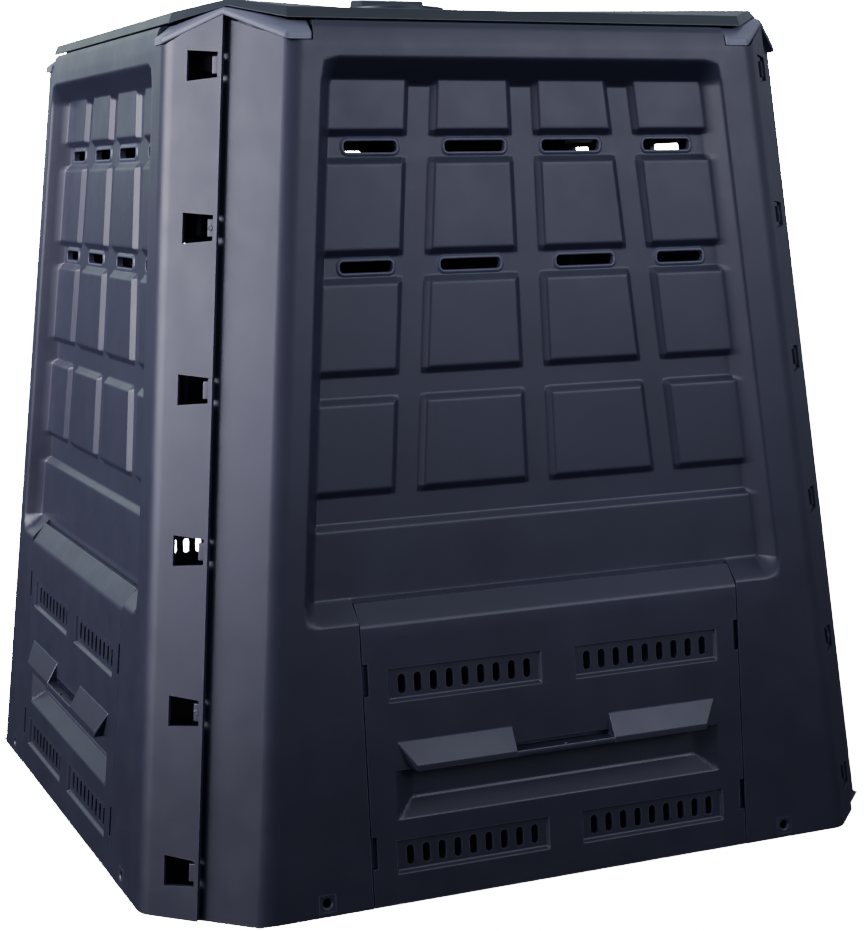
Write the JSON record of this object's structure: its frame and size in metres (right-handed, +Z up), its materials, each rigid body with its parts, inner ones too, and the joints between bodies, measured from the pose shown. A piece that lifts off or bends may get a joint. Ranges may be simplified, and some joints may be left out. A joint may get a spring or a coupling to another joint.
{
  "type": "compost bin",
  "caption": "Square tapering garden compost bin of moulded wall panels locked at chamfered corners, with a sliding hatch in each wall and a hinged lid with a vent dial.",
  "frame": {"origin": "centre of the footprint, on the ground", "axes": "+Z up; -Y is the front wall's outward side, +X the right wall's, as seen from the front"},
  "size_m": [0.8, 0.8, 0.8545],
  "materials": {
    "wall_plastic": "moulded, fine grain, dark slate blue",
    "hatch_plastic": "moulded, fine grain, dark slate blue",
    "lid_plastic": "moulded, fine grain, slate grey",
    "cap_plastic": "moulded, smoother, lighter grey",
    "fitting_plastic": "moulded, near black"
  },
  "bodies": {
    "bin": {"wall_front": "wall_plastic", "wall_right": "wall_plastic", "wall_back": "wall_plastic", "wall_left": "wall_plastic", "corner_cap_front_right": "cap_plastic", "corner_cap_back_right": "cap_plastic", "corner_cap_back_left": "cap_plastic", "corner_cap_front_left": "cap_plastic", "hinge_bracket_left": "fitting_plastic", "hinge_bracket_right": "fitting_plastic", "hinge_pin_left": "fitting_plastic", "hinge_pin_right": "fitting_plastic"},
    "lid": {"lid": "lid_plastic"},
    "dial": {"vent_dial": "lid_plastic", "dial_clip": "fitting_plastic"},
    "hatch_front": {"hatch_front": "hatch_plastic"},
    "hatch_right": {"hatch_right": "hatch_plastic"},
    "hatch_back": {"hatch_back": "hatch_plastic"},
    "hatch_left": {"hatch_left": "hatch_plastic"}
  },
  "joints": [
    {"name": "lid_hinge", "type": "hinge", "parent": "bin", "child": "lid", "pos_m": [0, 0.336, 0.812], "axis": [-1, 0, 0], "range_deg": [0, 100]},
    {"name": "dial_turn", "type": "hinge", "parent": "lid", "child": "dial", "pos_m": [0, 0, 0.84], "axis": [0, 0, 1], "range_deg": [0, 45]},
    {"name": "hatch_front_slide", "type": "slide", "parent": "bin", "child": "hatch_front", "axis": [0, 0.0914, 0.9958], "range_m": [0, 0.19]},
    {"name": "hatch_right_slide", "type": "slide", "parent": "bin", "child": "hatch_right", "axis": [-0.0914, 0, 0.9958], "range_m": [0, 0.19]},
    {"name": "hatch_back_slide", "type": "slide", "parent": "bin", "child": "hatch_back", "axis": [0, -0.0914, 0.9958], "range_m": [0, 0.19]},
    {"name": "hatch_left_slide", "type": "slide", "parent": "bin", "child": "hatch_left", "axis": [0.0914, 0, 0.9958], "range_m": [0, 0.19]}
  ]
}
